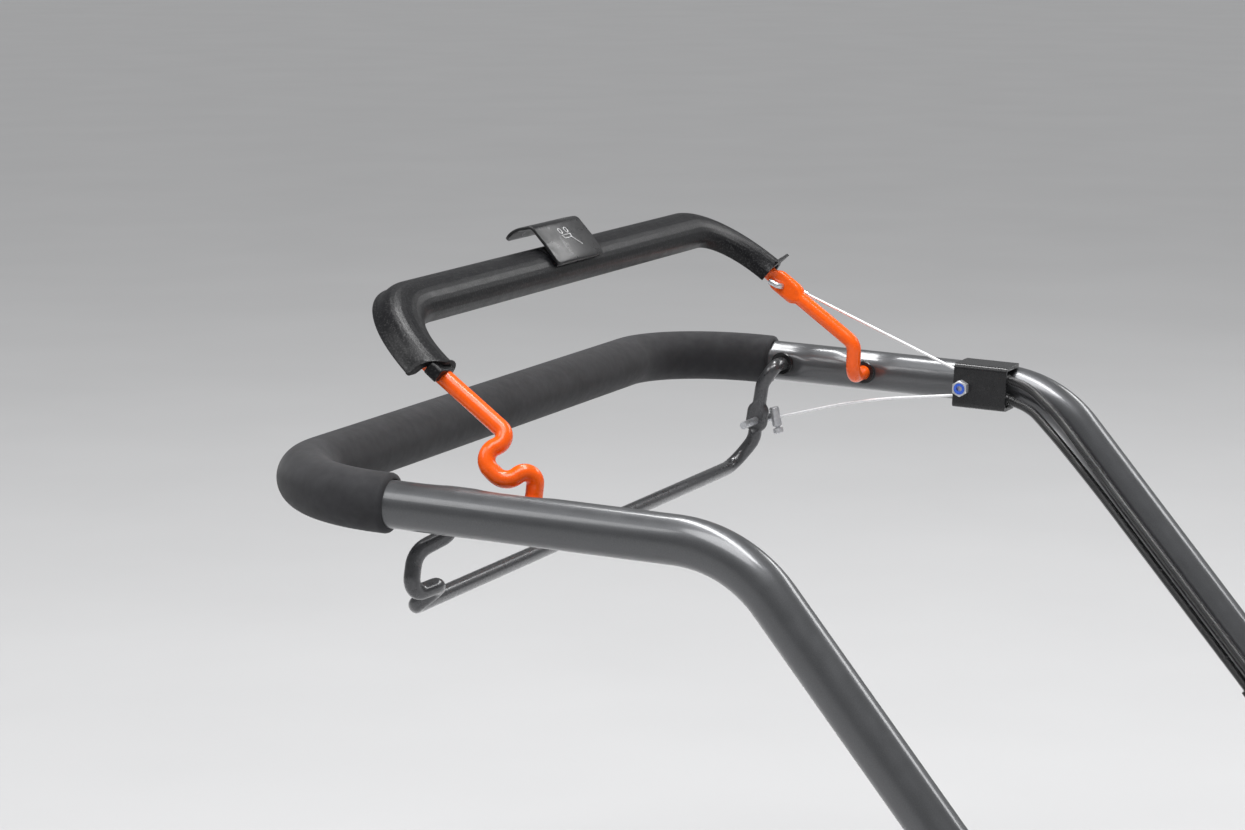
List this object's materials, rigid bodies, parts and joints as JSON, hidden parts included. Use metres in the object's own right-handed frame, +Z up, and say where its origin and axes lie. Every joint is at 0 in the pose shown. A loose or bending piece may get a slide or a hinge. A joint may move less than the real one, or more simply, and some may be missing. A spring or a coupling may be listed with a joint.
{
  "type": "walk-behind lawn mower upper handle",
  "caption": "Upper handle of a walk-behind mower: bent tube with foam grip, engine-brake bail, drive bail and their control cables.",
  "frame": {"origin": "bottom centre of the assembly's box, level with the lower ends of the two leg plugs", "axes": "+X is the operator's right, +Y points forward to the mower deck, +Z is up"},
  "size_m": [0.5448, 0.5153, 0.4426],
  "materials": {
    "tube_paint": "gloss dark grey powder coat",
    "grip_foam": "matt closed-cell foam",
    "black_plastic": "matt moulded",
    "bushing_plastic": "matt moulded",
    "conduit_jacket": "gloss, finely ribbed",
    "cap_plastic": "semi-gloss moulded",
    "wire_steel": "bright wire",
    "zinc": "bright zinc plate",
    "blue_nylon": "nylon",
    "bracket_paint": "satin black",
    "orange_paint": "gloss powder coat",
    "cover_plastic": "fine grained",
    "tab_plastic": "satin",
    "dark_paint": "gloss dark grey powder coat"
  },
  "bodies": {
    "handle": {"handlebar_tube": "tube_paint", "foam_grip": "grip_foam", "leg_plug_right": "black_plastic", "leg_plug_left": "black_plastic", "brake_bushing_right": "bushing_plastic", "brake_bushing_left": "bushing_plastic", "drive_bushing_right": "bushing_plastic", "drive_bushing_left": "bushing_plastic", "brake_cable_conduit": "conduit_jacket", "brake_cable_cap": "cap_plastic", "brake_cable_adjuster": "black_plastic", "brake_cable_lower_end": "wire_steel", "drive_cable_conduit": "conduit_jacket", "drive_cable_cap": "cap_plastic", "drive_cable_adjuster": "black_plastic", "drive_cable_lower_end": "wire_steel", "cable_clips": "black_plastic", "cable_bracket": "bracket_paint", "bracket_washer": "zinc", "bracket_bolt": "zinc", "bracket_nut": "zinc", "nut_locking_ring": "blue_nylon"},
    "brake_bail": {"brake_bail_rod": "orange_paint", "brake_bail_cover": "cover_plastic", "label_tab": "tab_plastic"},
    "drive_bail": {"drive_bail_rod": "dark_paint"},
    "brake_cable_end": {"brake_cable_hook": "wire_steel", "brake_cable_wire": "wire_steel"},
    "drive_cable_end": {"drive_cable_pin": "wire_steel", "drive_cable_barrel": "zinc", "barrel_screw": "zinc", "drive_cable_wire": "wire_steel"}
  },
  "joints": [
    {"name": "brake_bail_pivot", "type": "hinge", "parent": "handle", "child": "brake_bail", "pos_m": [0, -0.11729, 0.3379], "axis": [1, 0, 0], "range_deg": [0, 30], "stiffness_Nm_per_rad": 1, "springref_deg": -34.38},
    {"name": "drive_bail_pivot", "type": "hinge", "parent": "handle", "child": "drive_bail", "pos_m": [0, -0.16593, 0.34027], "axis": [-1, 0, 0], "range_deg": [0, 53], "stiffness_Nm_per_rad": 0.3, "springref_deg": -28.65},
    {"name": "brake_cable_swivel", "type": "hinge", "parent": "brake_bail", "child": "brake_cable_end", "pos_m": [-0.21309, -0.15694, 0.38794], "axis": [1, 0, 0], "range_deg": [-14.6, 0]},
    {"name": "drive_cable_swivel", "type": "hinge", "parent": "drive_bail", "child": "drive_cable_end", "pos_m": [-0.225, -0.17619, 0.30914], "axis": [1, 0, 0], "range_deg": [0, 43.9]}
  ],
  "couplings": [
    {"joint": "brake_cable_swivel", "follows": "brake_bail_pivot", "ratio": -0.473},
    {"joint": "drive_cable_swivel", "follows": "drive_bail_pivot", "ratio": 0.82}
  ]
}
